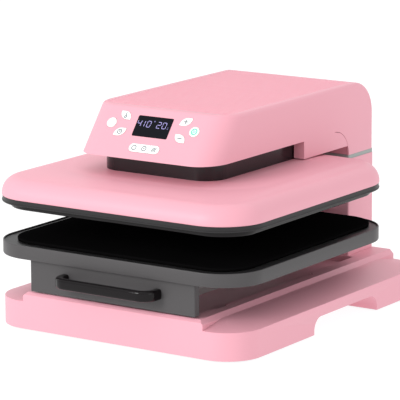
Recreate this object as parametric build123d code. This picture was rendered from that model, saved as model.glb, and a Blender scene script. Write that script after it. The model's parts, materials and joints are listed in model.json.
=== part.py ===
from build123d import *
import os
from math import hypot, sqrt

# Desktop heat press: a fixed C-shaped stand, a press head that a screw drives down
# inside the stand's arm, and a lower platen on a drawer. Millimetres, Z up.
# Everything is drawn about the middle of the platens, X = 0 being the plane of symmetry,
# and save() sets it down about the middle of the footprint.

# Lower platen and its drawer
tray_width = 420.0
tray_depth = 408.6
tray_radius = 62.4
tray_bottom = 102.5
tray_height = 19.1
tray_wall = 2.0
tray_ledge = 18.6
insulation_thickness = 7.5
lower_platen_thickness = 7.6
pad_thickness = 5.3
pad_depth = 384.0
pad_radius = 48.0
pad_edge = 1.2
panel_width = 274.0
panel_thickness = 11.5
panel_setback = 8.0
panel_lift = 2.6
carriage_sheet = 2.0
carriage_margin = 5.0
carriage_back_gap = 25.0
panel_sheet = 3.0

# Drawer slides: three nested channels on each side, the moving ones above the base's front edge
slide_outer_x = 45.0
slide_height = 40.0
slide_sheet = 1.5
slide_gap = 0.5
slide_depth = 12.5
slide_length = 395.0
slide_front_gap = 2.0
slide_middle_lip = 3.0
stop_width = 3.5
stop_length = 25.0
stop_height = 3.0

# Drawer handle
handle_length = 166.0
handle_reach = 30.2
handle_height = 15.0
handle_bar = 12.0
handle_post = 14.0
handle_corner = 13.0
handle_inner_corner = 8.0
handle_round = 3.5
handle_screw_radius = 2.2
handle_screw_head = 4.0
handle_screw_head_height = 2.0
handle_screw_grip = 8.0
handle_z = 81.5

# Upper platen
press_width = 421.8
press_depth = 413.2
press_radius = 66.6
press_gap = 42.6
press_stroke = 42.0
heater_thickness = 8.0
heater_slip = 0.4
heater_reveal = 0.5
heater_width = 384.0
heater_depth = 372.0
heater_radius = 45.0
shield_margin = 7.0
shield_height = 8.5
bezel_height = 8.4
cover_height = 32.1
cover_round = 30.0
cover_wall = 3.0
element_width = 7.0
element_height = 7.0
element_radius = 30.0
element_insets = (84.0, 204.0)
blanket_thickness = 5.5
blanket_inset = 8.0
lift_plate_thickness = 4.0
lift_plate_gap = 6.0
lift_plate_inset = 94.0
lift_plate_radius = 20.0
standoff_inset = 148.0
standoff_radius = 6.0
boss_gap = 8.0
boss_y = 95.0
boss_radius = 7.0
thermostat_y = 62.0
thermostat_radius = 9.0
thermostat_height = 10.0
sensor_y = -45.0
sensor_radius = 6.0
sensor_height = 9.0

# Neck between the upper platen and the arm
neck_width = 194.0
neck_front = -92.0
neck_back = 144.0
neck_radius = 33.0
neck_height = 45.0
neck_wall = 2.5
shroud_wall = 2.0
shroud_gap = 1.0
shroud_bottom = 206.0

# Arm housing and column
neck_margin = 18.4
head_width = neck_width + 2 * neck_margin
head_bottom = 243.9
head_top = 307.0
head_front = -127.0
head_slope_run = 49.5
head_corner = 36.0
head_edge = 6.0
column_front = 233.0
column_back = 302.0
column_corner = 2.5
column_split = 204.5
band_height = 6.0
band_inset = 0.5
throat_radius = 38.0
throat_seam = 0.7
skirt_front = 111.0
skirt_gap = 1.5
back_radius = 48.0
housing_wall = 3.0
under_recess = 0.8
neck_clearance = 1.5
rib_pitch = 8.0
rib_width = 3.0
rib_depth = 0.7
rib_margin = 14.0
vent_pitch = 9.0
vent_width = 3.5
vent_bottom = 212.0
vent_top = 248.0
vent_count = 15
housing_screw_x = 92.0
housing_screw_rows = (214.0, 250.0)
housing_screw_radius = 2.0
housing_screw_head = 3.8

# Base
base_width = 416.0
base_front = -198.0
base_back = 306.0
base_front_radius = 52.0
base_back_radius = 60.0
foot_height = 2.0
wing_edge = 41.0
wing_top = 49.0
wing_slope = 45.0
platform_top = 55.0
platform_width = 300.0
platform_taper = 6.0
platform_front_slope = 5.0
platform_front_edge = 51.0
bay_width = 249.0
bay_floor = 45.0
bay_front = -172.0
base_wall = 3.0
arch_front = -9.6
arch_back = 158.8
arch_height = 25.3
arch_radius = 18.0
arch_inner_x = 130.0
notch_rows = (-120.0, 100.0)
notch_half = 14.0
notch_depth = 6.0
bay_back_gap = 2.0
foot_radius = 14.0
foot_inset = 42.0

# Frame, screw drive and guides
screw_y = 9.0
screw_radius = 7.0
journal_radius = 6.0
running_fit = 0.05
nut_radius = 13.0
nut_height = 16.0
rod_radius = 8.0
rod_x = 62.0
bush_wall = 3.0
bush_length = 28.0
bush_gap = 30.0
bush_sleeve = 4.0
motor_radius = 32.0
motor_height = 38.0
bearing_wall = 5.0
bearing_height = 8.0
journal_length = 20.0
screw_shoulder = 2.0
nut_clearance = 5.0
screw_overrun = 4.0
arm_thickness = 5.0
arm_clearance = 3.5
arm_front = -40.0
arm_side_gap = 12.0
arm_back_gap = 9.0
arm_web = 3.0
arm_web_height = 25.0
upright_x = 78.0
upright_width = 36.0
upright_depth = 30.0
upright_sheet = 3.0
upright_gap = 5.0
base_frame_thickness = 3.0
base_frame_width = 230.0
base_frame_front_gap = 25.0
base_frame_back_gap = 12.0
base_post_x = 60.0
base_post_radius = 8.0
base_screw_x = 95.0
base_screw_radius = 2.0
base_screw_head = 4.0
base_screw_head_height = 1.0
base_row_margin = 51.0
base_plate_thickness = 1.5
base_plate_gap = 0.2
power_board_width = 100.0
power_board_depth = 100.0
power_board_front = -100.0
power_board_z = 16.0

# Controls on the sloping front
key_proud = 0.8
key_depth = 6.0
key_gap = 0.35
key_travel = 0.6
round_key_radius = 7.6
leaf_width = 18.0
leaf_height = 12.6
leaf_round = 11.2
preset_width = 50.0
preset_height = 12.6
preset_split = 0.5
window_width = 58.0
window_height = 32.0
board_depth = 12.0
board_thickness = 1.6
board_low = 15.5
board_high = 73.5
board_width = 158.0
button_size = 6.0
button_play = 0.2
display_border = 2.0
display_depth = 5.0
window_corner = 2.0
window_proud = 0.3
window_gap = 0.2
row_top = 65.5
row_middle = 52.0
row_bottom = 39.5
row_preset = 18.0
column_outer = 68.8
column_inner = 50.0

# Mains inlet and rocker switch on the back of the column
inlet_x = 58.0
inlet_z = 95.0
inlet_width = 64.0
inlet_height = 32.0
inlet_flange = 1.6
inlet_depth = 20.0
rocker_radius = 9.5
rocker_width = 12.0
rocker_gap = 0.5
rocker_setback = 7.0
rocker_edge = 13.0
socket_width = 27.0
socket_height = 16.0
socket_depth = 15.0
socket_edge = 6.0
pin_places = ((-19.5, 0.0), (-12.5, 3.0), (-5.5, 0.0))
pin_length = 11.0

# Heights and places that follow
tray_top = tray_bottom + tray_height
insulation_bottom = tray_bottom + tray_wall
lower_platen_bottom = insulation_bottom + insulation_thickness
pad_bottom = lower_platen_bottom + lower_platen_thickness
pad_top = pad_bottom + pad_thickness
heater_bottom = pad_top + press_gap
heater_top = heater_bottom + heater_thickness
shield_bottom = heater_bottom + heater_reveal
bezel_bottom = shield_bottom + shield_height
rim = bezel_bottom + bezel_height
cover_top = rim + cover_height
blanket_bottom = heater_top + element_height
lift_bottom = blanket_bottom + blanket_thickness + lift_plate_gap
lift_top = lift_bottom + lift_plate_thickness
arm_top = head_top - housing_wall - arm_clearance
arm_bottom = arm_top - arm_thickness
motor_bottom = arm_bottom - motor_height
nut_top = motor_bottom - nut_clearance
nut_bottom = nut_top - nut_height
screw_bottom = nut_bottom - press_stroke - screw_overrun
bush_bottom = lift_top + bush_gap
panel_front = -tray_depth / 2 + panel_setback
panel_back = panel_front + panel_thickness
panel_bottom = platform_top + panel_lift
handle_front = panel_front - handle_reach
slide_front = bay_front + slide_front_gap
slide_back = slide_front + slide_length
slide_low = platform_top - slide_sheet
slide_pitch = slide_sheet + slide_gap
footprint_middle = (handle_front + base_back) / 2
neck_middle = (neck_front + neck_back) / 2
neck_depth = neck_back - neck_front
slope_length = hypot(head_slope_run, head_top - head_bottom)
slope_plane = Plane(
    origin=(0, head_front, head_bottom),
    x_dir=(1, 0, 0),
    z_dir=(0, -(head_top - head_bottom) / slope_length, head_slope_run / slope_length),
)


def block(x0, x1, y0, y1, z0, z1):
    """A box between two corners."""
    middle = Pos((x0 + x1) / 2, (y0 + y1) / 2, (z0 + z1) / 2)
    return middle * Box(x1 - x0, y1 - y0, z1 - z0)


def rod(x, y, radius, z0, z1):
    """An upright cylinder."""
    return Pos(x, y, (z0 + z1) / 2) * Cylinder(radius, z1 - z0)


def slab(width, depth, radius, z0, z1, y=0.0):
    """A plate with rounded corners in plan."""
    return Pos(0, y, z0) * extrude(RectangleRounded(width, depth, radius), z1 - z0)


def mirrored(shape):
    """The shape and its twin across the plane of symmetry."""
    return shape + mirror(shape, Plane.YZ)


def footprint(inset, front_radius, back_radius, width, front, back):
    """A plan outline with its own corner radii at the front and the back."""
    depth = back - front - 2 * inset
    plan = Pos(0, (front + back) / 2) * Rectangle(width - 2 * inset, depth)
    rows = plan.vertices().group_by(Axis.Y)
    plan = fillet(rows[0], max(front_radius - inset, 0.5))
    rows = plan.vertices().group_by(Axis.Y)
    return fillet(rows[-1], max(back_radius - inset, 0.5))


def side_profile(points):
    """A closed outline in the Y-Z plane."""
    return make_face(Plane.YZ * Polyline(*points, close=True))


def save(shape, node):
    """Writes one node, set down about the middle of the footprint."""
    export_step(Pos(0, -footprint_middle, 0) * shape, f"parts/{node}.step")


# Base

def arch(margin):
    """The hand hole under one side of the base, grown by a margin."""
    width = arch_back - arch_front + 2 * margin
    height = arch_height + margin
    outer = base_width / 2 + 5
    hole = Pos((arch_front + arch_back) / 2, 0) * Rectangle(width, 2 * height)
    hole = fillet(hole.vertices(), arch_radius)
    run = extrude(Plane.YZ * hole, outer - arch_inner_x + margin)
    return Pos(arch_inner_x - margin, 0, 0) * run


def base_plan(inset):
    return footprint(inset, base_front_radius, base_back_radius, base_width, base_front, base_back)


def bay_notch(y):
    """A small notch in the edge of the drawer bay."""
    edge = bay_width / 2
    return block(edge - 1, edge + notch_depth, y - notch_half, y + notch_half, bay_floor + 1, platform_top + 1)


def make_base_shell():
    body = Pos(0, 0, foot_height) * extrude(base_plan(0), wing_edge - foot_height)
    crown = [Pos(0, 0, wing_edge) * base_plan(0), Pos(0, 0, wing_top) * base_plan(wing_slope)]
    body = body + loft(crown, ruled=True)
    half = platform_width / 2
    across = Polyline(
        (-half, wing_edge), (-half, wing_top), (-half + platform_taper, platform_top),
        (half - platform_taper, platform_top), (half, wing_top), (half, wing_edge), close=True,
    )
    depth = base_back - base_front
    platform = extrude(make_face(Plane.XZ * across), depth, both=True)
    along = side_profile([
        (base_front, wing_edge), (base_front, platform_front_edge),
        (base_front + platform_front_slope, platform_top), (base_back - 1, platform_top),
        (base_back - 1, wing_edge),
    ])
    platform = platform & extrude(along, base_width, both=True)
    platform = platform & Pos(0, 0, 1) * extrude(base_plan(0), platform_top + 5)
    body = body + platform
    inner = extrude(base_plan(base_wall), wing_edge - base_wall)
    hollow = inner - mirrored(arch(base_wall))
    body = body - hollow
    body = body - mirrored(arch(0))
    bay_back = column_front - bay_back_gap
    body = body - block(-bay_width / 2, bay_width / 2, bay_front, bay_back, bay_floor, platform_top + 5)
    for y in notch_rows:
        body = body - mirrored(bay_notch(y))
    return body - foot_opening()


def foot_opening():
    """The opening in the base's top for the two uprights."""
    x1 = upright_x + upright_width / 2 + 1
    y0 = column_front + housing_wall + upright_gap - 1
    return block(-x1, x1, y0, y0 + upright_depth + 2, wing_edge - base_wall - 5, platform_top + 5)


def make_base_plate():
    gap = base_wall + base_plate_gap
    top = foot_height + base_plate_thickness
    plate = Pos(0, 0, foot_height) * extrude(base_plan(gap), base_plate_thickness)
    return plate - mirrored(arch(gap)) - base_screw_set(top)


def foot_places():
    x = base_width / 2 - foot_inset
    return [(side * x, y) for side in (-1, 1) for y in (base_front + foot_inset, base_back - foot_inset)]


def make_rubber_feet():
    feet = [Pos(x, y, foot_height / 2) * Cylinder(foot_radius, foot_height) for x, y in foot_places()]
    return Compound(children=feet)


def base_rows():
    """Three rows along the base for the frame's posts and screws."""
    front = base_front + base_row_margin
    back = base_back - 2 * base_row_margin
    return [front, (front + back) / 2, back]


def base_screw_set(top):
    """Screws that hold the bottom plate to the frame, their heads sunk in its underside."""
    screws = Part()
    neck = foot_height + base_screw_head_height
    for x in (-base_screw_x, base_screw_x):
        for y in base_rows():
            screws += rod(x, y, base_screw_head, foot_height, neck)
            screws += rod(x, y, base_screw_radius, neck, top + base_frame_thickness)
    return screws


def make_base_frame():
    bottom = foot_height + base_plate_thickness
    top = bottom + base_frame_thickness
    half = base_frame_width / 2
    frame = block(-half, half, base_front + base_frame_front_gap, base_back - base_frame_back_gap, bottom, top)
    for x in (-base_post_x, base_post_x):
        for y in base_rows():
            frame += rod(x, y, base_post_radius, top, wing_edge - base_wall)
    return frame - base_screw_set(bottom)


def make_uprights():
    bottom = foot_height + base_plate_thickness + base_frame_thickness
    x0 = upright_x - upright_width / 2
    x1 = upright_x + upright_width / 2
    y0 = column_front + housing_wall + upright_gap
    post = block(x0, x1, y0, y0 + upright_depth, bottom, arm_bottom)
    inner = block(x0 + upright_sheet, x1 - upright_sheet, y0 + upright_sheet, y0 + upright_depth + 1,
                  bottom, arm_bottom)
    return mirrored(post - inner)


def make_power_board():
    z = power_board_z
    top = z + board_thickness
    x0 = -power_board_width / 2
    x1 = power_board_width / 2
    y0 = power_board_front
    y1 = y0 + power_board_depth
    board = block(x0, x1, y0, y1, z, top)
    board += block(x0 + 10, x0 + 40, y0 + 10, y0 + 50, top, z + 18)
    board += block(x1 - 45, x1 - 10, y0 + 15, y0 + 40, top, z + 14)
    board += rod(x1 - 30, y1 - 30, 9, top, z + 20)
    for x in (x0 + 6, x1 - 6):
        for y in (y0 + 6, y1 - 6):
            board += rod(x, y, 3, foot_height + base_plate_thickness + base_frame_thickness, z)
    return board


# Column and arm

def column_ring(z0, z1, inset):
    """A closed band round the column."""
    outer = footprint(inset, column_corner, column_corner, head_width, column_front, column_back)
    inner = footprint(housing_wall, column_corner, column_corner, head_width, column_front, column_back)
    return Pos(0, 0, z0) * extrude(outer - inner, z1 - z0)


def make_column_cover():
    cover = column_ring(platform_top, column_split - band_height, 0)
    return cover - inlet_body(0.0)


def make_trim_band():
    return column_ring(column_split - band_height, column_split, band_inset)


def arm_solid(inset):
    """The arm's closed outline: flat top, sloping front, round back and a round throat."""
    rise = head_top - head_bottom
    ratio = head_slope_run / rise
    shift = inset * sqrt(1 + ratio * ratio)
    top = head_top - inset
    back = column_back - inset
    radius = back_radius - inset
    front_low = head_front + shift
    front_high = front_low + ratio * (top - head_bottom)
    low = head_bottom if inset == 0 else head_bottom - 10
    split = column_split if inset == 0 else column_split - 10
    throat = column_front - throat_radius
    toe = front_low - ratio * (head_bottom - low)
    lines = [
        Line((toe, low), (front_high, top)),
        Line((front_high, top), (back - radius, top)),
        RadiusArc((back - radius, top), (back, top - radius), radius),
        Line((back, top - radius), (back, split)),
    ]
    if inset == 0:
        lines += [
            Line((back, split), (column_front, split)),
            RadiusArc((column_front, split), (throat, low), -throat_radius),
            Line((throat, low), (toe, low)),
        ]
    else:
        lines += [
            Line((back, split), (column_front - 30, split)),
            Line((column_front - 30, split), (throat - 30, low)),
            Line((throat - 30, low), (toe, low)),
        ]
    side = make_face(Plane.YZ * Wire(lines))
    half = head_width / 2 - inset
    body = extrude(side, half, both=True)
    slanted = [e for e in body.edges() if abs(e.center().X) > half - 0.1 and e.center().Y < front_high]
    return fillet(slanted, head_corner - inset)


def housing_edges(body):
    """The outer edges of the arm's top and back, from the front crease down to the split."""
    back_start = column_back - back_radius
    picked = []
    for edge in body.edges():
        middle = edge.center()
        on_side = abs(middle.X) > head_width / 2 - 0.1
        on_top = middle.Z > head_top - 0.1 and middle.Y < back_start - 1
        down_back = on_side and middle.Y > back_start + 1 and middle.Z > column_split + 1
        if on_top or down_back and middle.Y > column_front + 20:
            picked.append(edge)
    return picked


def neck_port(z0, z1):
    """The space that the neck slides in."""
    return slab(neck_width + 2 * neck_clearance, neck_depth + 2 * neck_clearance, neck_radius + neck_clearance,
                z0, z1, neck_middle)


def skirt_solid(inset):
    """The block that fills the throat behind the neck, down to just above the platen cover."""
    throat = column_front - throat_radius
    middle_z = head_bottom - throat_radius
    radius = throat_radius - throat_seam - inset
    low = cover_top + skirt_gap + inset
    front = skirt_front + inset
    high = head_bottom + under_recess - 0.1 + inset
    reach = sqrt(radius ** 2 - (low - middle_z) ** 2)
    side = make_face(Plane.YZ * Wire([
        Line((front, low), (throat + reach, low)),
        RadiusArc((throat + reach, low), (throat, middle_z + radius), -radius),
        Line((throat, middle_z + radius), (throat - inset, middle_z + radius)),
        Line((throat - inset, middle_z + radius), (throat - inset, high)),
        Line((throat - inset, high), (front, high)),
        Line((front, high), (front, low)),
    ] if inset else [
        Line((front, low), (throat + reach, low)),
        RadiusArc((throat + reach, low), (throat, middle_z + radius), -radius),
        Line((throat, middle_z + radius), (throat, high)),
        Line((throat, high), (front, high)),
        Line((front, high), (front, low)),
    ]))
    return extrude(side, head_width / 2 - inset, both=True)


def make_upper_housing():
    body = arm_solid(0)
    body = fillet(housing_edges(body), head_edge)
    body = body - arm_solid(housing_wall)
    body = body + (skirt_solid(0) - skirt_solid(housing_wall))
    body = body - neck_port(cover_top, head_bottom + under_recess)
    ribs = Part()
    first = head_front + head_slope_run + rib_margin
    last = column_back - back_radius - 4
    count = int((last - first) / rib_pitch) + 1
    half = head_width / 2 - 2 * head_edge
    for i in range(count):
        y = first + i * rib_pitch
        ribs += block(-half, half, y - rib_width / 2, y + rib_width / 2, head_top - rib_depth, head_top + 1)
    body = body - ribs
    vents = Part()
    for i in range(vent_count):
        x = (i - (vent_count - 1) / 2) * vent_pitch
        vents += block(x - vent_width / 2, x + vent_width / 2, column_back - 2 * housing_wall, column_back + 1,
                       vent_bottom, vent_top)
    body = body - vents - key_set(key_gap) - window_block(window_gap) - housing_screw_set()
    return body


def under_side(offset):
    """The underside's line, from the column's front up round the throat and forward."""
    throat = column_front - throat_radius
    z = head_bottom + offset
    front = head_front
    return [
        RadiusArc((column_front + offset, column_split), (throat, z), -(throat_radius + offset)),
        Line((throat, z), (front, z)),
    ]


def make_under_cover():
    low = under_side(under_recess)
    high = under_side(under_recess + housing_wall)
    front = head_front
    z0 = head_bottom + under_recess
    ends = [
        Line((front, z0), (front, z0 + housing_wall)),
        Line((column_front + under_recess, column_split),
             (column_front + under_recess + housing_wall, column_split)),
    ]
    side = make_face(Plane.YZ * Wire(low + high + ends))
    body = extrude(side, head_width / 2, both=True)
    body = body & arm_solid(housing_wall + 0.2)
    return body - neck_port(head_bottom - 5, head_bottom + 10)


def make_inner_shroud():
    outset = neck_wall + shroud_gap
    width = neck_width - 2 * outset
    depth = neck_depth - 2 * outset
    radius = neck_radius - outset
    ring = slab(width, depth, radius, shroud_bottom, arm_bottom, neck_middle)
    ring = ring - slab(width - 2 * shroud_wall, depth - 2 * shroud_wall, radius - shroud_wall,
                       shroud_bottom - 1, arm_bottom + 1, neck_middle)
    board_space = board_depth + button_size
    size = 2 * head_top
    front_space = slope_plane * Pos(0, 0, head_top - board_space) * Box(size, size, size)
    return ring - front_space


def make_arm_frame():
    half = head_width / 2 - housing_wall - arm_side_gap
    back = column_back - housing_wall - arm_back_gap
    plate = block(-half, half, arm_front, back, arm_bottom, arm_top)
    plate = plate & arm_solid(housing_wall + 0.5)
    web = block(half - arm_web, half, arm_front + 10, column_front, arm_bottom - arm_web_height, arm_bottom)
    return plate + mirrored(web)


def make_gear_motor():
    body = rod(0, screw_y, motor_radius, motor_bottom, arm_bottom)
    bearing_top = motor_bottom + bearing_height
    body -= rod(0, screw_y, journal_radius + bearing_wall, motor_bottom - 1, bearing_top)
    body -= rod(0, screw_y, journal_radius + 0.5, bearing_top - 1, motor_bottom + journal_length + 2)
    return body


def make_screw_bearing():
    bearing_top = motor_bottom + bearing_height
    ring = rod(0, screw_y, journal_radius + bearing_wall, motor_bottom, bearing_top)
    return ring - rod(0, screw_y, journal_radius + running_fit, motor_bottom - 1, bearing_top + 1)


def make_bush_housings():
    z0 = bush_bottom
    outer = rod_radius + bush_wall
    tube = rod(rod_x, screw_y, outer + bush_sleeve, z0, arm_bottom)
    tube -= rod(rod_x, screw_y, outer, z0 - 1, z0 + bush_length)
    tube -= rod(rod_x, screw_y, rod_radius + 1.5, z0 + bush_length - 1, arm_bottom + 1)
    return mirrored(tube)


def make_guide_bushes():
    z0 = bush_bottom
    bush = rod(rod_x, screw_y, rod_radius + bush_wall, z0, z0 + bush_length)
    return mirrored(bush - rod(rod_x, screw_y, rod_radius + running_fit, z0 - 1, z0 + bush_length + 1))


def housing_screw_places():
    return [(x, z) for x in (-housing_screw_x, housing_screw_x) for z in housing_screw_rows]


def housing_screw_set():
    """Four screws in the back of the arm housing, before their slots are cut."""
    screws = Part()
    for x, z in housing_screw_places():
        screws += Pos(x, column_back - 1.0, z) * Rot(90, 0, 0) * Cylinder(housing_screw_head, 2.0)
        screws += Pos(x, column_back - 7.0, z) * Rot(90, 0, 0) * Cylinder(housing_screw_radius, 10.0)
    return screws


def make_housing_screws():
    screws = housing_screw_set()
    for x, z in housing_screw_places():
        screws -= block(x - 3, x + 3, column_back - 0.8, column_back + 1, z - 0.5, z + 0.5)
    return screws


# Controls

def leaf(x, s, first_corner):
    """A leaf-shaped key outline, sharp at two opposite corners."""
    plan = Pos(x, s) * Rectangle(leaf_width, leaf_height)
    picked = [v for v in plan.vertices() if first_corner * (v.X - x) * (v.Y - s) > 0]
    return fillet(picked, leaf_round)


def preset(index):
    """One third of the pill-shaped row of preset keys."""
    pill = Pos(0, row_preset) * RectangleRounded(preset_width, preset_height, preset_height / 2 - 0.1)
    third = preset_width / 3
    window = Pos((index - 1) * third, row_preset) * Rectangle(third - preset_split, preset_height + 2)
    return pill & window


def key_outlines():
    return {
        "power_key": Pos(-column_outer, row_middle) * Circle(round_key_radius),
        "temperature_key": leaf(-column_inner, row_top, 1),
        "timer_key": leaf(-column_inner, row_bottom, -1),
        "plus_key": leaf(column_inner, row_top, -1),
        "minus_key": leaf(column_inner, row_bottom, 1),
        "start_key": Pos(column_outer, row_middle) * Circle(round_key_radius),
        "preset_key_1": preset(0),
        "preset_key_2": preset(1),
        "preset_key_3": preset(2),
    }


def key_solid(outline):
    return slope_plane * Pos(0, 0, -key_depth) * extrude(outline, key_depth + key_proud)


def key_set(margin):
    """The holes that the keys move in."""
    holes = Part()
    for name, outline in key_outlines().items():
        if not name.startswith("preset"):
            grown = offset(outline, margin)
            holes += slope_plane * Pos(0, 0, -key_depth) * extrude(grown, 2 * key_depth)
    radius = preset_height / 2 + margin - 0.1
    pill = RectangleRounded(preset_width + 2 * margin, preset_height + 2 * margin, radius)
    holes += slope_plane * Pos(0, row_preset, -key_depth) * extrude(pill, 2 * key_depth)
    return holes


def window_block(margin):
    outline = RectangleRounded(window_width + 2 * margin, window_height + 2 * margin, window_corner)
    depth = housing_wall + window_proud + 3 * margin
    return slope_plane * Pos(0, row_middle, -housing_wall) * extrude(outline, depth)


def make_display_module():
    outline = Rectangle(window_width + 2 * display_border, window_height + 3 * display_border)
    low = -housing_wall - window_gap - display_depth
    return slope_plane * Pos(0, row_middle, low) * extrude(outline, display_depth)


def make_control_board():
    outline = Pos(0, (board_low + board_high) / 2) * Rectangle(board_width, board_high - board_low)
    board = slope_plane * Pos(0, 0, -board_depth) * extrude(outline, board_thickness)
    height = board_depth - board_thickness - key_depth - key_travel - button_play
    for outline in key_outlines().values():
        spot = outline.center()
        button = Pos(spot.X, spot.Y, -board_depth + board_thickness) * Box(
            button_size, button_size, height, align=(Align.CENTER, Align.CENTER, Align.MIN))
        board += slope_plane * button
    return board


# Mains inlet

def inlet_body(margin):
    """The space that the inlet module takes through the column's back."""
    half_w = inlet_width / 2 - 3 + margin
    half_h = inlet_height / 2 - 3 + margin
    return block(inlet_x - half_w, inlet_x + half_w, column_back - inlet_depth, column_back + 1,
                 inlet_z - half_h, inlet_z + half_h)


def rocker_center():
    return inlet_x + inlet_width / 2 - rocker_edge, column_back - rocker_setback


def make_mains_inlet():
    body = inlet_body(0) & block(0, 200, 0, column_back, 0, 400)
    flange = Pos(inlet_x, column_back + inlet_flange, inlet_z) * Rot(90, 0, 0) * extrude(
        RectangleRounded(inlet_width, inlet_height, 3), inlet_flange)
    body += flange
    left = inlet_x - inlet_width / 2 + socket_edge
    deep = column_back - socket_depth
    socket = block(left, left + socket_width, deep, column_back + 5,
                   inlet_z - socket_height / 2, inlet_z + socket_height / 2)
    x, y = rocker_center()
    reach = rocker_radius + rocker_gap
    half = rocker_width / 2 + rocker_gap
    well = block(x - half, x + half, y - reach, column_back + 5, inlet_z - reach, inlet_z + reach)
    body = body - socket - well
    for dx, dz in pin_places:
        body += block(inlet_x + dx - 1, inlet_x + dx + 1, deep, deep + pin_length,
                      inlet_z + dz - 2, inlet_z + dz + 2)
    return body


def make_power_rocker():
    x, y = rocker_center()
    body = Pos(x, y, inlet_z) * Rot(0, 90, 0) * Cylinder(rocker_radius, rocker_width)
    dip = Pos(x, y + rocker_radius + 4.0, inlet_z + 5.0) * Rot(24, 0, 0) * Box(rocker_width + 2, 12, 22)
    return body - dip


# Drawer

def slide_channel(step):
    """One pair of channels; step 0 is the fixed one on its foot and 2 is the one that carries the drawer."""
    web = slide_outer_x - step * slide_pitch
    low = slide_low + step * slide_pitch
    high = slide_low + slide_height - step * slide_pitch
    lip = slide_outer_x - slide_depth
    if step == 1:
        lip += slide_middle_lip
    foot = bay_floor if step == 0 else low
    channel = block(lip, web, slide_front, slide_back, foot, high)
    inner = web - slide_sheet
    channel -= block(lip - 1, inner, slide_front - 1, slide_back + 1, low + slide_sheet, high - slide_sheet)
    if step == 0:
        channel -= block(lip - 1, inner, slide_front - 1, slide_back + 1, foot + slide_sheet, low)
    return mirrored(channel)


def make_drawer_stops():
    edge = bay_width / 2
    front = bay_front + 7
    top = platform_top - 2
    return mirrored(block(edge - stop_width, edge, front, front + stop_length, top - stop_height, top))


def make_drawer_carriage():
    half = bay_width / 2 + carriage_margin
    top = tray_bottom
    under = top - carriage_sheet
    plate = block(-half, half, panel_back, tray_depth / 2 - carriage_back_gap, under, top)
    front = block(-half, half, panel_back, panel_back + carriage_sheet, panel_bottom + carriage_sheet, under)
    rail_x = slide_outer_x - slide_depth
    low = slide_low + 2 * slide_pitch
    flange = block(rail_x - carriage_sheet, rail_x, slide_front, slide_back - 40, low, under)
    return plate + front + mirrored(flange)


def make_drawer_panel():
    half = panel_width / 2
    panel = block(-half, half, panel_front, panel_back, panel_bottom, tray_bottom)
    upright_edges = panel.edges().filter_by(Axis.Z)
    panel = fillet(upright_edges, 1.5)
    pocket = block(-half + panel_sheet, half - panel_sheet, panel_front + panel_sheet, panel_back + 1,
                   panel_bottom + panel_sheet, tray_bottom - panel_sheet)
    for x in handle_screw_places():
        boss = Pos(x, (panel_front + panel_back) / 2, handle_z) * Rot(90, 0, 0)
        pocket -= boss * Cylinder(2 * handle_screw_head, 2 * panel_thickness)
    return panel - pocket - handle_screw_set()


def handle_screw_places():
    reach = (handle_length - handle_post) / 2
    return -reach, reach


def handle_screw_set():
    screws = Part()
    neck = panel_back - handle_screw_head_height
    tip = panel_front - handle_screw_grip
    for x in handle_screw_places():
        place = Pos(x, 0, handle_z)
        head = Cylinder(handle_screw_head, handle_screw_head_height)
        screws += place * Pos(0, neck + handle_screw_head_height / 2, 0) * Rot(90, 0, 0) * head
        shank = Cylinder(handle_screw_radius, neck - tip)
        screws += place * Pos(0, (neck + tip) / 2, 0) * Rot(90, 0, 0) * shank
    return screws


def make_drawer_handle():
    length = handle_length
    outer = Pos(0, (panel_front + handle_front) / 2) * Rectangle(length, handle_reach)
    front = outer.vertices().group_by(Axis.Y)[0]
    outer = fillet(front, handle_corner)
    inner_depth = handle_reach - handle_bar
    inner = Pos(0, panel_front - inner_depth / 2) * Rectangle(length - 2 * handle_post, inner_depth)
    front = inner.vertices().group_by(Axis.Y)[0]
    inner = fillet(front, handle_inner_corner)
    bar = Pos(0, 0, handle_z - handle_height / 2) * extrude(outer - inner, handle_height)
    faces = bar.faces().filter_by(Axis.Z)
    edges = [e for f in faces for e in f.edges() if e.center().Y < panel_front - 0.5]
    bar = fillet(edges, handle_round)
    return bar - handle_screw_set()


def make_tray_frame():
    tray = slab(tray_width, tray_depth, tray_radius, tray_bottom, tray_top)
    top_edges = tray.faces().sort_by(Axis.Z)[-1].edges()
    tray = fillet(top_edges, 1.2)
    return tray - slab(tray_width - 2 * tray_wall, tray_depth - 2 * tray_wall, tray_radius - tray_wall,
                       insulation_bottom, tray_top + 1)


def tray_layer(inset, z0, z1):
    return slab(tray_width - 2 * inset, tray_depth - 2 * inset, tray_radius - inset, z0, z1)


def make_silicone_pad():
    middle = (pad_depth - tray_depth) / 2 + tray_ledge
    pad = slab(tray_width - 2 * tray_ledge, pad_depth, pad_radius, pad_bottom, pad_top, middle)
    return fillet(pad.faces().sort_by(Axis.Z)[-1].edges(), pad_edge)


# Upper platen

def press_layer(inset, z0, z1):
    return slab(press_width - 2 * inset, press_depth - 2 * inset, press_radius - inset, z0, z1)


def heater_layer(grow, z0, z1):
    return slab(heater_width + 2 * grow, heater_depth + 2 * grow, heater_radius + grow, z0, z1)


def crowned(body, radius):
    return fillet(body.faces().sort_by(Axis.Z)[-1].edges(), radius)


def make_platen_cover():
    shell = crowned(press_layer(0, rim, cover_top), cover_round)
    core = crowned(press_layer(cover_wall, rim - 1, cover_top - cover_wall), cover_round - cover_wall)
    shell = shell - core
    boss_x = neck_width / 2 + boss_gap
    for x in (-boss_x, boss_x):
        for y in (-boss_y, boss_y):
            shell += rod(x, y, boss_radius, lift_top, cover_top - cover_wall)
    port = slab(neck_width - 2 * neck_wall, neck_depth - 2 * neck_wall, neck_radius - neck_wall,
                rim, cover_top + 5, neck_middle)
    return shell - port


def make_platen_bezel():
    return press_layer(0, bezel_bottom, rim) - heater_layer(heater_slip, bezel_bottom - 1, rim + 1)


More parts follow.
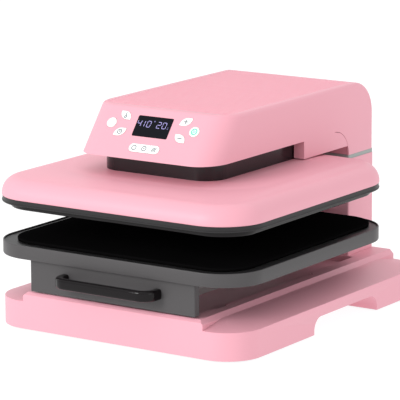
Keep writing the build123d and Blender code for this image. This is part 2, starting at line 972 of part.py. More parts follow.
def make_heat_shield():
    outer = heater_layer(shield_margin, shield_bottom, bezel_bottom)
    outer = fillet(outer.faces().sort_by(Axis.Z)[0].edges(), 1.5)
    return outer - heater_layer(heater_slip, shield_bottom - 1, bezel_bottom + 1)


def make_heating_element():
    rings = []
    for inset in element_insets:
        width = heater_width - inset
        depth = heater_depth - inset
        outer = slab(width, depth, element_radius, heater_top, heater_top + element_height)
        inner = slab(width - 2 * element_width, depth - 2 * element_width, element_radius - element_width,
                     heater_top - 1, heater_top + element_height + 1)
        rings.append(outer - inner)
    return Compound(children=rings)


def standoff_places():
    x = (heater_width - standoff_inset) / 2
    y = (heater_depth - standoff_inset) / 2
    return [(-x, -y), (x, -y), (-x, y), (x, y)]


def make_blanket():
    blanket = heater_layer(-blanket_inset, blanket_bottom, blanket_bottom + blanket_thickness)
    for x, y in standoff_places():
        blanket -= rod(x, y, standoff_radius + 0.5, blanket_bottom - 1, lift_bottom)
    blanket -= rod(0, screw_y, screw_radius + 5, blanket_bottom - 1, lift_bottom)
    blanket -= rod(0, thermostat_y, thermostat_radius + 1, blanket_bottom - 1, lift_bottom)
    blanket -= rod(0, sensor_y, sensor_radius + 1, blanket_bottom - 1, lift_bottom)
    return blanket


def make_lift_plate():
    width = heater_width - lift_plate_inset
    depth = heater_depth - lift_plate_inset
    plate = slab(width, depth, lift_plate_radius, lift_bottom, lift_top)
    return plate - rod(0, screw_y, screw_radius + 3, lift_bottom - 1, lift_top + 1)


def make_neck_shroud():
    ring = slab(neck_width, neck_depth, neck_radius, cover_top, cover_top + neck_height, neck_middle)
    return ring - slab(neck_width - 2 * neck_wall, neck_depth - 2 * neck_wall, neck_radius - neck_wall,
                       cover_top - 1, cover_top + neck_height + 1, neck_middle)


def make_nut_tower():
    tower = rod(0, screw_y, nut_radius + 3, lift_top, nut_bottom)
    tower += rod(0, screw_y, nut_radius + 12, lift_top, lift_top + 4)
    return tower - rod(0, screw_y, screw_radius + 2, lift_top - 1, nut_bottom + 1)


def make_screw_nut():
    nut = Pos(0, screw_y, nut_bottom) * extrude(RegularPolygon(nut_radius, 6), nut_height)
    return nut - rod(0, screw_y, screw_radius + running_fit, nut_bottom - 1, nut_top + 1)


def make_lift_screw():
    shoulder = motor_bottom - screw_shoulder
    screw = rod(0, screw_y, screw_radius, screw_bottom, shoulder)
    return screw + rod(0, screw_y, journal_radius, shoulder, motor_bottom + journal_length)


def make_guide_rods():
    return mirrored(rod(rod_x, screw_y, rod_radius, lift_top, arm_bottom - 3))


def main():
    os.makedirs("parts", exist_ok=True)
    frame_top = foot_height + base_plate_thickness
    save(make_base_shell(), "base_shell")
    save(make_base_plate(), "base_plate")
    save(make_rubber_feet(), "rubber_feet")
    save(base_screw_set(frame_top), "base_screws")
    save(make_base_frame(), "base_frame")
    save(make_uprights(), "uprights")
    save(make_power_board(), "power_board")
    save(make_column_cover(), "column_cover")
    save(make_trim_band(), "trim_band")
    save(make_upper_housing(), "upper_housing")
    save(make_under_cover(), "under_cover")
    save(make_inner_shroud(), "inner_shroud")
    save(make_arm_frame(), "arm_frame")
    save(make_gear_motor(), "gear_motor")
    save(make_screw_bearing(), "screw_bearing")
    save(make_bush_housings(), "bush_housings")
    save(make_guide_bushes(), "guide_bushes")
    save(make_housing_screws(), "housing_screws")
    save(window_block(0), "display_window")
    save(make_display_module(), "display_module")
    save(make_control_board(), "control_board")
    for name, outline in key_outlines().items():
        save(key_solid(outline), name)
    save(make_mains_inlet(), "mains_inlet")
    save(make_power_rocker(), "power_rocker")
    save(slide_channel(0), "outer_rails")
    save(slide_channel(1), "middle_rails")
    save(slide_channel(2), "inner_rails")
    save(make_drawer_stops(), "drawer_stops")
    save(make_drawer_carriage(), "drawer_carriage")
    save(make_drawer_panel(), "drawer_panel")
    save(make_drawer_handle(), "drawer_handle")
    save(handle_screw_set(), "handle_screws")
    save(make_tray_frame(), "tray_frame")
    save(tray_layer(tray_wall, insulation_bottom, lower_platen_bottom), "tray_insulation")
    save(tray_layer(tray_wall, lower_platen_bottom, pad_bottom), "lower_platen")
    save(make_silicone_pad(), "silicone_pad")
    save(make_platen_cover(), "platen_cover")
    save(make_platen_bezel(), "platen_bezel")
    save(make_heat_shield(), "heat_shield")
    save(heater_layer(0, heater_bottom, heater_top), "heating_plate")
    save(make_heating_element(), "heating_element")
    save(make_blanket(), "insulation_blanket")
    save(make_lift_plate(), "lift_plate")
    standoffs = [rod(x, y, standoff_radius, heater_top, lift_bottom) for x, y in standoff_places()]
    save(Compound(children=standoffs), "standoffs")
    save(rod(0, thermostat_y, thermostat_radius, heater_top, heater_top + thermostat_height), "thermostat")
    save(rod(0, sensor_y, sensor_radius, heater_top, heater_top + sensor_height), "temperature_sensor")
    save(make_neck_shroud(), "neck_shroud")
    save(make_nut_tower(), "nut_tower")
    save(make_screw_nut(), "screw_nut")
    save(make_lift_screw(), "lift_screw")
    save(make_guide_rods(), "guide_rods")


main()
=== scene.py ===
import json
import math

import bmesh
import bpy
import numpy as np
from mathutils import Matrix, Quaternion, Vector

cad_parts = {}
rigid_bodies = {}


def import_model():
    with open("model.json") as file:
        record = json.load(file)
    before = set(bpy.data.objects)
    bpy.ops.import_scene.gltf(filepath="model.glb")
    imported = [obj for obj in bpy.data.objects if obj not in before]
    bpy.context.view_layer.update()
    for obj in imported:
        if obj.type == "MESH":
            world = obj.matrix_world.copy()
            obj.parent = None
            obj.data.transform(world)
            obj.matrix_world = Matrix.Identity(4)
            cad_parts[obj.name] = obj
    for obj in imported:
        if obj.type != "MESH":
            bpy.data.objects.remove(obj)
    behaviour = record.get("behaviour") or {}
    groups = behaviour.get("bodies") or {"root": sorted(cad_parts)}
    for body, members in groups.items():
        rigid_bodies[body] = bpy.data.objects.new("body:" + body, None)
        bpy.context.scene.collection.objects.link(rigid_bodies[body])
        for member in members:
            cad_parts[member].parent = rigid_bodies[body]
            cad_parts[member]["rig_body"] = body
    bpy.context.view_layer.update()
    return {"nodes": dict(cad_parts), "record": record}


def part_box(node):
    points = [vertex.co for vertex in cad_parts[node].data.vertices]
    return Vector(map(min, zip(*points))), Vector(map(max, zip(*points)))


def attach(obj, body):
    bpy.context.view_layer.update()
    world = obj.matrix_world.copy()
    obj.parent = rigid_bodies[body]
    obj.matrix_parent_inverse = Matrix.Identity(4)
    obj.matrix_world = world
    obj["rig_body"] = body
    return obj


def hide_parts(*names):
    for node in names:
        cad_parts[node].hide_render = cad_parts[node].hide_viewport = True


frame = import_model()
nodeObjects = frame["nodes"]
slotOf = {part["node"]: part["material_slot"] for part in frame["record"]["subparts"]}
print("frame loaded:", len(nodeObjects), "nodes")


# finishes

def linear(red, green, blue):
    # screen colour 0 to 255 to the linear value a shader wants
    shares = [c / 255 for c in (red, green, blue)]
    return [s / 12.92 if s <= 0.0404 else ((s + 0.055) / 1.055) ** 2.4 for s in shares]


finishes = {
    "body_pink": dict(tone=[0.77, 0.365, 0.435], spread=0.012, rough=(0.42, 0.48),
                      grain=1400, bump=0.05, level=0.35),
    "black_gloss": dict(tone=linear(14, 10, 12), spread=0.10, rough=(0.05, 0.09),
                        grain=700, bump=0.008, level=0.22),
    "black_matte": dict(tone=linear(36, 35, 36), spread=0.06, rough=(0.36, 0.46),
                        grain=2200, bump=0.12, level=0.3),
    "grey_metal": dict(tone=linear(74, 72, 73), spread=0.03, rough=(0.40, 0.48),
                       grain=2600, bump=0.14, level=0.3),
    "trim_grey": dict(tone=linear(150, 158, 155), spread=0.03, rough=(0.38, 0.46), grain=1600, bump=0.08),
    "silicone": dict(tone=[0.004, 0.0038, 0.004], spread=0.12, rough=(0.46, 0.54),
                     grain=1900, bump=0.07, level=0.0),
    "insulation": dict(tone=linear(206, 203, 192), spread=0.08, rough=(0.85, 0.95),
                       grain=900, bump=0.5, weave=420),
    "aluminium": dict(tone=linear(200, 202, 205), spread=0.04, rough=(0.28, 0.40),
                      grain=500, bump=0.05, metal=1.0,
                      stretch=(1, 14, 1)),
    "zinc_steel": dict(tone=linear(214, 217, 215), spread=0.06, rough=(0.26, 0.38),
                       grain=420, bump=0.05, metal=0.75,
                       stretch=(9, 1, 9)),
    "steel": dict(tone=linear(176, 178, 181), spread=0.04, rough=(0.16, 0.26),
                  grain=600, bump=0.03, metal=1.0,
                  stretch=(1, 1, 12)),
    "brass": dict(tone=linear(214, 178, 104), spread=0.05, rough=(0.20, 0.30),
                  grain=500, bump=0.04, metal=1.0),
    "bronze": dict(tone=linear(178, 128, 78), spread=0.07, rough=(0.34, 0.46),
                   grain=900, bump=0.10, metal=1.0),
    "board_green": dict(tone=linear(34, 104, 66), spread=0.18, rough=(0.30, 0.42),
                        grain=260, bump=0.12, coat=0.3),
    "display_glass": dict(tone=linear(17, 18, 24), spread=0.05, rough=(0.04, 0.07),
                          grain=300, bump=0.004, level=0.08),
    "key_white": dict(tone=linear(240, 243, 241), spread=0.010, rough=(0.34, 0.42), grain=1500, bump=0.05),
    "key_lit": dict(tone=linear(226, 247, 238), spread=0.015, rough=(0.34, 0.42), grain=1500, bump=0.05,
                    glow=(linear(150, 255, 214), 0.10)),
    "rubber_black": dict(tone=linear(38, 38, 38), spread=0.10, rough=(0.62, 0.74), grain=1300, bump=0.30),
    "motor_black": dict(tone=linear(40, 40, 42), spread=0.08, rough=(0.34, 0.46), grain=800, bump=0.10),
}


def makeFinish(name, tone, spread, rough, grain, bump, coat=0.0, metal=0.0, level=0.5, stretch=(1, 1, 1),
               glow=None, weave=0):
    material = bpy.data.materials.new(name)
    material.use_nodes = True
    nodes, links = material.node_tree.nodes, material.node_tree.links
    shader = nodes["Principled BSDF"]
    place = nodes.new("ShaderNodeTexCoord")
    turn = nodes.new("ShaderNodeMapping")
    turn.inputs["Scale"].default_value = stretch
    links.new(place.outputs["Object"], turn.inputs["Vector"])
    clouds = nodes.new("ShaderNodeTexNoise")   # slow change of shade
    clouds.inputs["Scale"].default_value = 11
    clouds.inputs["Detail"].default_value = 4
    links.new(turn.outputs["Vector"], clouds.inputs["Vector"])
    shade = nodes.new("ShaderNodeMix")
    shade.data_type = "RGBA"
    shade.inputs["A"].default_value = [c * (1 - spread) for c in tone] + [1]
    shade.inputs["B"].default_value = [min(c * (1 + spread), 1) for c in tone] + [1]
    links.new(clouds.outputs["Fac"], shade.inputs["Factor"])
    links.new(shade.outputs["Result"], shader.inputs["Base Color"])
    fine = nodes.new("ShaderNodeTexNoise")     # moulded or rolled surface grain
    fine.inputs["Scale"].default_value = grain
    fine.inputs["Detail"].default_value = 3
    links.new(turn.outputs["Vector"], fine.inputs["Vector"])
    polish = nodes.new("ShaderNodeMapRange")
    polish.inputs["To Min"].default_value, polish.inputs["To Max"].default_value = rough
    links.new(fine.outputs["Fac"], polish.inputs["Value"])
    links.new(polish.outputs["Result"], shader.inputs["Roughness"])
    relief = nodes.new("ShaderNodeBump")
    relief.inputs["Strength"].default_value = bump
    relief.inputs["Distance"].default_value = 0.0002
    height = fine.outputs["Fac"]
    if weave:                                  # crossing threads
        threads = []
        for direction in ("X", "Y"):
            wave = nodes.new("ShaderNodeTexWave")
            wave.bands_direction = direction
            wave.inputs["Scale"].default_value = weave
            links.new(turn.outputs["Vector"], wave.inputs["Vector"])
            threads.append(wave.outputs["Fac"])
        crossed = nodes.new("ShaderNodeMath")
        crossed.operation = "MAXIMUM"
        links.new(threads[0], crossed.inputs[0])
        links.new(threads[1], crossed.inputs[1])
        height = crossed.outputs["Value"]
    links.new(height, relief.inputs["Height"])
    links.new(relief.outputs["Normal"], shader.inputs["Normal"])
    shader.inputs["Metallic"].default_value = metal
    shader.inputs["Specular IOR Level"].default_value = level
    shader.inputs["Coat Weight"].default_value = coat
    shader.inputs["Coat Roughness"].default_value = 0.06
    if glow:
        shader.inputs["Emission Color"].default_value = glow[0] + [1]
        shader.inputs["Emission Strength"].default_value = glow[1]
    return material


paint = {slot: makeFinish(slot, **values) for slot, values in finishes.items()}
printGrey = makeFinish("print_grey", linear(100, 106, 112), 0.03, (0.45, 0.55), 1200, 0.05)
printDark = makeFinish("print_dark", linear(84, 90, 98), 0.03, (0.45, 0.55), 1200, 0.05)
printFaint = makeFinish("print_faint", linear(198, 203, 203), 0.02, (0.45, 0.55), 1200, 0.05)
litGreen = makeFinish("lit_green", linear(60, 222, 156), 0.05, (0.40, 0.50), 900, 0.03,
                      glow=(linear(60, 240, 168), 0.14))
litDigits = makeFinish("lit_digits", linear(150, 140, 200), 0.05, (0.30, 0.40), 900, 0.02,
                       glow=(linear(176, 172, 222), 0.60))
litDim = makeFinish("lit_dim", linear(110, 104, 150), 0.05, (0.30, 0.40), 900, 0.02,
                    glow=(linear(150, 144, 210), 0.4))
for name, node in nodeObjects.items():
    node.data.materials.clear()
    node.data.materials.append(paint[slotOf[name]])
print("finishes ready:", len(paint))


# making pieces

def putMesh(name, points, faces, material, body, smoothAngle=35, replaced=(), slot=None):
    mesh = bpy.data.meshes.new(name)
    mesh.from_pydata(np.asarray(points).reshape(-1, 3).tolist(), [], [list(map(int, f)) for f in faces])
    mesh.polygons.foreach_set("use_smooth", np.ones(len(mesh.polygons), bool))
    mesh.set_sharp_from_angle(angle=math.radians(smoothAngle))
    mesh.materials.append(material)
    mesh.update()
    piece = bpy.data.objects.new(name, mesh)
    bpy.context.scene.collection.objects.link(piece)
    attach(piece, body)
    if replaced:
        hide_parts(*replaced)
    return piece


def gridFaces(rows, columns, wrapRows=False, start=0):
    # quads between neighbouring rings of a closed grid, rows of rings by columns of points
    r = np.arange(rows if wrapRows else rows - 1)[:, None]
    c = np.arange(columns)[None, :]
    here, right = r * columns + c, r * columns + (c + 1) % columns
    up = ((r + 1) % rows) * columns
    quads = np.stack([here, right, up + (c + 1) % columns, up + c], axis=-1).reshape(-1, 4)
    return quads + start


def planRing(halfWidth, front, back, frontRadius, backRadius, cornerSteps):
    # rounded rectangle seen from above, anticlockwise: four quarter circles, each corner's centre plus
    # radius times (cosine, sine) of the angle
    angles = np.radians(np.linspace(0, 90, cornerSteps))[None, :] + np.radians([0, 90, 180, 270])[:, None]
    radius = np.array([backRadius, backRadius, frontRadius, frontRadius])[:, None]
    sideX, sideY = np.array([1, -1, -1, 1])[:, None], np.array([1, 1, -1, -1])[:, None]
    limitY = np.where(sideY > 0, back, front)
    x = sideX * (halfWidth - radius) + radius * np.cos(angles)
    y = limitY - sideY * radius + radius * np.sin(angles)
    return np.stack([x.ravel(), y.ravel()], axis=1)


def ringStack(stations, cornerSteps=20):
    # one plan ring for each station (halfWidth, front, back, frontRadius, backRadius, height)
    rings = []
    for halfWidth, front, back, frontRadius, backRadius, z in stations:
        plan = planRing(halfWidth, front, back, frontRadius, backRadius, cornerSteps)
        rings.append(np.column_stack([plan, np.full(len(plan), z)]))
    return np.array(rings)


def insetStations(outline, profile):
    # the outline moved inwards by each profile inset, at each profile height
    halfWidth, front, back, frontRadius, backRadius = outline
    return [(halfWidth - i, front + i, back - i, frontRadius - i, backRadius - i, z) for i, z in profile]


def plate(name, stations, material, body, closedLoop=False, cornerSteps=20, **more):
    # a stack of plan rings from the underside up, capped at both ends, or joined into a hollow band
    rings = ringStack(stations, cornerSteps)
    rows, columns = rings.shape[:2]
    faces = list(gridFaces(rows, columns, wrapRows=closedLoop))
    if not closedLoop:
        faces += [np.arange(columns)[::-1], np.arange(columns) + (rows - 1) * columns]
    return putMesh(name, rings, faces, material, body, **more)


def arcProfile(insetStart, zStart, radius, steps, inwardUp=True):
    # quarter circle from a vertical side over to a flat top (or from a flat underside out to the side)
    t = np.radians(np.linspace(0, 90, steps))
    if inwardUp:
        return [(insetStart + radius * (1 - math.cos(a)), zStart + radius * math.sin(a)) for a in t]
    return [(insetStart + radius * (1 - math.sin(a)), zStart + radius * (1 - math.cos(a))) for a in t]


def finishedCopy(node, edge=0.0, segments=2, smoothAngle=32, limitAngle=38, material=None):
    # the node's own surface with its doubles merged, its edges broken and its curves smooth
    source = nodeObjects[node]
    body = source["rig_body"]
    soup = bmesh.new()
    soup.from_mesh(source.data)
    bmesh.ops.remove_doubles(soup, verts=soup.verts, dist=3e-6)
    bmesh.ops.dissolve_limit(soup, angle_limit=math.radians(0.7), verts=soup.verts, edges=soup.edges)
    mesh = bpy.data.meshes.new(node + "_shown")
    soup.to_mesh(mesh)
    soup.free()
    mesh.polygons.foreach_set("use_smooth", np.ones(len(mesh.polygons), bool))
    mesh.set_sharp_from_angle(angle=math.radians(smoothAngle))
    mesh.materials.clear()
    mesh.materials.append(material or paint[slotOf[node]])
    piece = bpy.data.objects.new(node + "_shown", mesh)
    bpy.context.scene.collection.objects.link(piece)
    if edge:
        bevel = piece.modifiers.new("broken edges", "BEVEL")
        bevel.limit_method = "ANGLE"
        bevel.angle_limit = math.radians(limitAngle)
        bevel.width = edge
        bevel.segments = segments
        bevel.harden_normals = True
        bevel.use_clamp_overlap = True
    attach(piece, body)
    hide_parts(node)
    return piece


def outlineOf(node, radius):
    low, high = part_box(node)
    return (high.x - low.x) / 2, low.y, high.y, radius, radius


# base, column and arm: the cast shapes with their edges broken

brokenEdges = {
    "base_shell": 0.0028, "column_cover": 0.0009, "trim_band": 0.0004, "under_cover": 0.0008,
    "upper_housing": 0.0003, "drawer_panel": 0.0007, "mains_inlet": 0.0004,
    "power_rocker": 0.0005, "outer_rails": 0.0003, "middle_rails": 0.0003, "inner_rails": 0.0003,
    "rubber_feet": 0.0005, "base_plate": 0.0003, "display_window": 0.0004, "housing_screws": 0.0002,
    "drawer_stops": 0.0004, "heating_plate": 0.0008,
}
for node, edge in brokenEdges.items():
    finishedCopy(node, edge)
for node in [n for n in nodeObjects if n.endswith("_key") or n.startswith("preset_key")]:
    finishedCopy(node, 0.00035)
print("castings finished")


# upper platen

cover = dict(
    radius=0.0666, sideHeight=0.0024, shoulder=0.024, crown=0.0022,
    tier=dict(halfWidth=0.172, front=0.066, back=0.040, frontRadius=0.105, backRadius=0.060,
              rise=0.0012, run=0.020),
)
low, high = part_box("platen_cover")
outline = outlineOf("platen_cover", cover["radius"])
tier = cover["tier"]
side = [(0.0006, low.z), (0.0, low.z + 0.0006)]
shoulder = arcProfile(0.0, low.z + cover["sideHeight"], cover["shoulder"], 14)
stations = insetStations(outline, side + shoulder)
footZ = high.z - tier["rise"] - 0.0006
foot = (tier["halfWidth"], low.y + tier["front"], high.y - tier["back"],
        tier["frontRadius"], tier["backRadius"])
edgeOfShoulder = stations[-1]
for k in np.linspace(0.25, 1, 4):      # gentle slope from the shoulder to the foot of the middle
    mixed = [a + (b - a) * k for a, b in zip(edgeOfShoulder[:5], foot)]
    stations.append((*mixed, edgeOfShoulder[5] + (footZ - edgeOfShoulder[5]) * math.sin(k * math.pi / 2)))
for k in np.linspace(0.125, 1, 8):     # soft step: a half cosine from foot to plateau
    i = tier["run"] * k
    stations.append((foot[0] - i, foot[1] + i, foot[2] - i, foot[3] - i, foot[4] - i,
                     footZ + tier["rise"] * (1 - math.cos(math.pi * k)) / 2))
stations.append((0.115, foot[1] + 0.038, foot[2] - 0.026, 0.05, 0.03, high.z))
plate("platen_cover_dome", stations, paint["body_pink"], "press_head", cornerSteps=28, smoothAngle=50,
      replaced=["platen_cover"], slot="body_pink")

low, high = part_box("platen_bezel")
bezel = dict(lip=0.0026, recess=0.0009)
profile = [(0.010, low.z), (0.0012, low.z), (0.0003, low.z + 0.0005), (0.0, low.z + 0.0012),
           (0.0, low.z + bezel["lip"] - 0.0006), (0.0005, low.z + bezel["lip"]),
           (bezel["recess"], low.z + bezel["lip"] + 0.0002), (bezel["recess"], high.z - 0.0004),
           (bezel["recess"] + 0.0004, high.z), (0.010, high.z)]
plate("platen_bezel_band", insetStations(outlineOf("platen_bezel", cover["radius"]), profile),
      paint["black_matte"], "press_head", closedLoop=True, replaced=["platen_bezel"], slot="black_matte")

low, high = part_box("heat_shield")
heater = dict(radius=0.052)
profile = [(0.0085, low.z), (0.0035, low.z), (0.0012, low.z + 0.0008), (0.0, low.z + 0.0026),
           (0.0, high.z), (0.0085, high.z)]
plate("heat_shield_band", insetStations(outlineOf("heat_shield", heater["radius"]), profile),
      paint["black_gloss"], "press_head", closedLoop=True, replaced=["heat_shield"], slot="black_gloss")

low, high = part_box("neck_shroud")
neck = dict(radius=0.033, wall=0.0025)
# neck paint: a lighter, pinker black than black_gloss, a painted reflection of the pink housing around it
neckReflectionPaint = makeFinish("black_gloss_neck_painted_reflection", linear(34, 24, 27), 0.10, (0.16, 0.22), 700, 0.012, level=0.3)
profile = [(neck["wall"], low.z), (0.0, low.z), (0.0, high.z - 0.0008), (0.0008, high.z),
           (neck["wall"], high.z)]
plate("neck_sleeve", insetStations(outlineOf("neck_shroud", neck["radius"]), profile), neckReflectionPaint,
      "press_head", closedLoop=True, cornerSteps=24, replaced=["neck_shroud"], slot="black_gloss")
print("upper platen built")


# lower platen and drawer

tray = dict(radius=0.0624, wall=0.0020, floor=0.0020)
low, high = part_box("tray_frame")
wall, floor = tray["wall"], tray["floor"]
rim = arcProfile(0.0, high.z - 0.0010, 0.0010, 5)
profile = [(0.0012, low.z), (0.0004, low.z + 0.0004), (0.0, low.z + 0.0012)] + rim
profile += [(wall - 0.0004, high.z), (wall, high.z - 0.0004), (wall, low.z + floor)]
plate("tray_pressing", insetStations(outlineOf("tray_frame", tray["radius"]), profile), paint["grey_metal"],
      "drawer", cornerSteps=24, replaced=["tray_frame"], slot="grey_metal")

pad = dict(radius=0.048, edge=0.0019, bow=0.0004, pinch=0.0006)
low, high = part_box("silicone_pad")
outline = outlineOf("silicone_pad", pad["radius"])
# soft edge: rounded at the top and drawn in at the foot where the pad is bonded down
profile = [(pad["pinch"] + 0.0005, low.z), (pad["pinch"], low.z + 0.0004), (0.0002, low.z + 0.0016)]
profile += arcProfile(0.0, high.z - pad["edge"] - pad["bow"], pad["edge"], 8)
stations = insetStations(outline, profile)
for k in (0.15, 0.35, 0.6, 0.85, 1.0):  # very slight crown towards the middle
    inset = pad["edge"] + 0.032 * k
    stations += insetStations(outline, [(inset, high.z - pad["bow"] * (1 - k) ** 2)])
silicone = plate("silicone_pad_sponge", stations, paint["silicone"], "drawer", cornerSteps=22, smoothAngle=60,
                 replaced=["silicone_pad"], slot="silicone")


def sweptBar(path, across, upright, corner, sections, halfThick, halfTall):
    # a superellipse section carried along a flat path: each point is the path plus the sideways direction
    # times halfThick times the first coordinate, and up times halfTall times the second
    t = np.linspace(0, 2 * math.pi, sections, endpoint=False)
    c, s = np.cos(t), np.sin(t)
    one = np.sign(c) * np.abs(c) ** corner * halfThick
    two = np.sign(s) * np.abs(s) ** corner * halfTall
    out = across[:, None, :] * one[None, :, None]
    up = upright[None, None, :] * two[None, :, None]
    return path[:, None, :] + out + up


handle = dict(bend=0.0165, thick=0.0118, tall=0.0150, sections=28, squareness=0.52)
low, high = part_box("drawer_handle")
halfLength = (high.x - low.x) / 2 - handle["thick"] / 2
frontLine = low.y + handle["thick"] / 2
panelLine = high.y
middleZ = (low.z + high.z) / 2
bend = handle["bend"]
t = np.radians(np.linspace(0, 90, 12))
straight = np.linspace(0, 1, 8)
right = [np.column_stack([np.full(8, halfLength), panelLine + (frontLine + bend - panelLine) * straight]),
         np.column_stack([halfLength - bend * (1 - np.cos(t)), frontLine + bend * (1 - np.sin(t))])]
half = np.concatenate([right[0][:-1], right[1]])
centreLine = np.concatenate([half, (half * [-1, 1])[::-1]])
centreLine = np.column_stack([centreLine, np.full(len(centreLine), middleZ)])
along = np.gradient(centreLine, axis=0)
along /= np.linalg.norm(along, axis=1)[:, None]
sideways = np.column_stack([-along[:, 1], along[:, 0], np.zeros(len(along))])
sideways[0] = [1, 0, 0]
sideways[-1] = [-1, 0, 0]
rings = sweptBar(centreLine, sideways, np.array([0, 0, 1.0]), handle["squareness"], handle["sections"],
                 handle["thick"] / 2, handle["tall"] / 2)
rows, columns = rings.shape[:2]
faces = list(gridFaces(rows, columns)[:, ::-1])
faces += [np.arange(columns), (np.arange(columns) + (rows - 1) * columns)[::-1]]
putMesh("drawer_handle_bow", rings, faces, paint["black_gloss"], "drawer", smoothAngle=50,
        replaced=["drawer_handle"], slot="black_gloss")
print("drawer built")


# symbols on the keys and digits in the window

panel = dict(run=0.0495, rise=0.0631, keyTop=0.0008, windowTop=0.0003)
low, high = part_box("upper_housing")
slopeLength = math.hypot(panel["run"], panel["rise"])
upSlope = np.array([0, panel["run"], panel["rise"]]) / slopeLength
outSlope = np.array([0, -panel["rise"], panel["run"]]) / slopeLength
slopeFoot = np.array([0, low.y, high.z - panel["rise"]])


def onSlope(flat, height):
    # a point x across and s up the sloping front, lifted off it by the height
    flat = np.asarray(flat, float)
    return slopeFoot + flat[..., :1] * np.array([1.0, 0, 0]) + flat[..., 1:2] * upSlope + outSlope * height


def strokePiece(name, strokes, width, base, top, material, body, slot):
    # each stroke is a run of flat points; a bar of the given width follows it, mitred at its corners
    points, faces, start = [], [], 0
    for stroke in strokes:
        closed = stroke.get("closed", False)
        line = np.asarray(stroke["line"], float)
        if closed:
            step = np.roll(line, -1, axis=0) - np.roll(line, 1, axis=0)
        else:
            step = np.gradient(line, axis=0)
        step /= np.linalg.norm(step, axis=1)[:, None]
        normal = np.column_stack([-step[:, 1], step[:, 0]]) * width / 2
        left, right = line + normal, line - normal
        corners = [(right, base), (right, top), (left, top), (left, base)]
        rings = np.stack([onSlope(side, height) for side, height in corners], axis=1)
        rows = len(rings)
        faces += list(gridFaces(rows, 4, wrapRows=closed, start=start)[:, ::-1])
        if not closed:
            cap = np.array([0, 1, 2, 3])
            faces += [cap + start, cap[::-1] + start + (rows - 1) * 4]
        points.append(rings.reshape(-1, 3))
        start += rows * 4
    return putMesh(name, np.concatenate(points), faces, material, body, smoothAngle=30, slot=slot)


def circle(x, s, radius, start=0, end=360, steps=32):
    # centre plus radius times (cosine, sine)
    closed = end - start >= 360
    t = np.radians(np.linspace(start, end, steps, endpoint=not closed))
    return dict(line=np.column_stack([x + radius * np.cos(t), s + radius * np.sin(t)]), closed=closed)


def bar(x0, s0, x1, s1):
    return dict(line=[(x0, s0), (x1, s1)])


keyPlaces = {
    "power_key": (-0.0688, 0.052), "temperature_key": (-0.050, 0.0655), "timer_key": (-0.050, 0.0395),
    "plus_key": (0.050, 0.0655), "minus_key": (0.050, 0.0395), "start_key": (0.0688, 0.052),
    "preset_key_1": (-0.0166, 0.018), "preset_key_2": (0.0, 0.018), "preset_key_3": (0.0166, 0.018),
}


def waves(x, s, height, gap):
    # three rising heat waves: sideways swing is a sine of the height
    up = np.linspace(-1, 1, 13)
    return [dict(line=np.column_stack([x + k * gap + 0.0006 * np.sin(up * math.pi), s + up * height / 2]))
            for k in (-1, 0, 1)]


def symbol(name):
    x, s = keyPlaces[name]
    return {
        "power_key": [circle(x, s, 0.0032, 125, 415), bar(x, s + 0.0008, x, s + 0.0044)],
        "temperature_key": [bar(x, s - 0.0008, x, s + 0.0044), circle(x, s - 0.0026, 0.0016, steps=20)],
        "timer_key": [circle(x, s, 0.0033), bar(x, s, x, s + 0.0020), bar(x, s, x + 0.0014, s)],
        "plus_key": [bar(x - 0.0032, s, x + 0.0032, s), bar(x, s + 0.0004, x, s + 0.0032),
                     bar(x, s - 0.0032, x, s - 0.0004)],
        "minus_key": [bar(x - 0.0034, s, x + 0.0034, s)],
        "start_key": [circle(x, s, 0.0042, steps=36),
                      dict(line=[(x - 0.0014, s - 0.0020), (x + 0.0022, s), (x - 0.0014, s + 0.0020)],
                           closed=True)],
        "preset_key_1": [circle(x, s, 0.0034)],
        "preset_key_2": [circle(x, s, 0.0034), bar(x - 0.0012, s, x + 0.0012, s)],
        "preset_key_3": waves(x, s, 0.0062, 0.0024),
    }[name]


symbolPaint = {
    "power_key": printFaint, "temperature_key": printGrey, "timer_key": printGrey,
    "plus_key": printDark, "minus_key": printDark, "start_key": litGreen,
    "preset_key_1": printGrey, "preset_key_2": printGrey, "preset_key_3": printGrey,
}
symbolWidth = {"start_key": 0.0014}
for name in keyPlaces:
    strokePiece(name + "_symbol", symbol(name), symbolWidth.get(name, 0.0012), panel["keyTop"] - 0.0001,
                panel["keyTop"] + 0.00008, symbolPaint[name], name, slotOf[name])

segments = {"a": ((0, 2), (1, 2)), "b": ((1, 1), (1, 2)), "c": ((1, 0), (1, 1)), "d": ((0, 0), (1, 0)),
            "e": ((0, 0), (0, 1)), "f": ((0, 1), (0, 2)), "g": ((0, 1), (1, 1))}
lit = {"4": "fgbc", "1": "bc", "0": "abcdef", "2": "abged"}
digits = dict(width=0.0058, height=0.0046, lean=0.08, gap=0.10, stroke=0.0007, line=0.0512)


def digitStrokes(mark, x, s, size=1.0):
    # every segment of the mark is a short bar, leaned to the right by its height
    strokes = []
    for letter in lit[mark]:
        ends = np.array(segments[letter], float)
        ends = ends + (ends[::-1] - ends) * digits["gap"]
        flat = ends * [digits["width"] * size, digits["height"] * size]
        flat[:, 0] += flat[:, 1] * digits["lean"]
        strokes.append(dict(line=flat + [x, s]))
    return strokes


def showMarks(name, strokes, width, material):
    strokePiece(name, strokes, width, panel["windowTop"] - 0.0001, panel["windowTop"] + 0.00006, material,
                "stand", "display_glass")


reading = digitStrokes("4", -0.0270, digits["line"]) + digitStrokes("1", -0.0211, digits["line"])
reading += digitStrokes("0", -0.0112, digits["line"])
reading += digitStrokes("2", 0.0056, digits["line"]) + digitStrokes("0", 0.0146, digits["line"])
showMarks("reading_digits", reading, digits["stroke"], litDigits)
marks = [circle(0.0002, digits["line"] + 0.0096, 0.0008, steps=14)]
marks += [bar(0.0236, digits["line"], 0.0256, digits["line"]),
          bar(0.0236, digits["line"] + 0.0022, 0.0256, digits["line"] + 0.0022)]
showMarks("reading_marks", marks, 0.0005, litDim)
print("controls printed")


# floor, light and camera

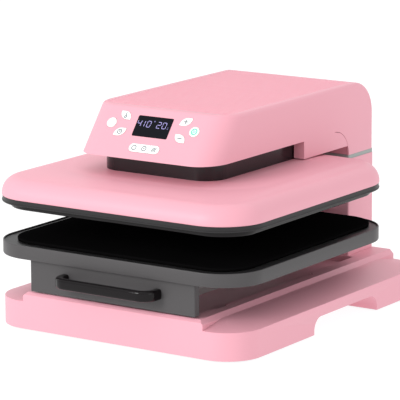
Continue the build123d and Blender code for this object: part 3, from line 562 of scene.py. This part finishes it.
def stagePlane(name, size, z, material):
    mesh = bpy.data.meshes.new(name)
    corners = [(-size, -size, z), (size, -size, z), (size, size, z), (-size, size, z)]
    mesh.from_pydata(corners, [], [(0, 1, 2, 3)])
    mesh.materials.append(material)
    plane = bpy.data.objects.new(name, mesh)
    bpy.context.scene.collection.objects.link(plane)


studioFloor = makeFinish("studio_floor", [0.2, 0.2, 0.2], 0.0, (0.9, 0.95), 60, 0.0, level=0.0,
                         glow=([1, 1, 1], 0.9))
stagePlane("studio_floor", 12.0, -0.0004, studioFloor)

lights = {
    "key": dict(place=(-1.0, -2.9, 1.5), size=1.2, power=51),
    "right": dict(place=(3.0, -1.0, 0.45), size=1.2, power=4),
    "top": dict(place=(0.0, -0.4, 3.0), size=1.6, power=3),
}
aim = Vector((0.0, 0.0, 0.15))
for name, light in lights.items():
    data = bpy.data.lights.new(name, "AREA")
    data.size = light["size"]
    data.energy = light["power"]
    lamp = bpy.data.objects.new(name, data)
    lamp.location = light["place"]
    lamp.rotation_euler = (aim - lamp.location).to_track_quat("-Z", "Y").to_euler()
    bpy.context.scene.collection.objects.link(lamp)

world = bpy.data.worlds.new("studio")
world.use_nodes = True
world.node_tree.nodes["Background"].inputs["Color"].default_value = (1, 1, 1, 1)
world.node_tree.nodes["Background"].inputs["Strength"].default_value = 1.0
bpy.context.scene.world = world
bpy.context.scene.view_settings.view_transform = "Standard"

camera = dict(place=(2.1144, -3.13555, 0.9563), target=(0.01294, -0.03975, 0.1678), roll=-0.31, lens=245.6)
cameraData = bpy.data.cameras.new("camera")
cameraData.lens = camera["lens"]
cameraData.sensor_width = 36
cameraObject = bpy.data.objects.new("camera", cameraData)
cameraObject.location = camera["place"]
gaze = Vector(camera["target"]) - cameraObject.location
turn = gaze.to_track_quat("-Z", "Y")
cameraObject.rotation_mode = "QUATERNION"
cameraObject.rotation_quaternion = turn @ Quaternion((0, 0, 1), math.radians(camera["roll"]))
bpy.context.scene.collection.objects.link(cameraObject)
bpy.context.scene.camera = cameraObject
print("stage set")
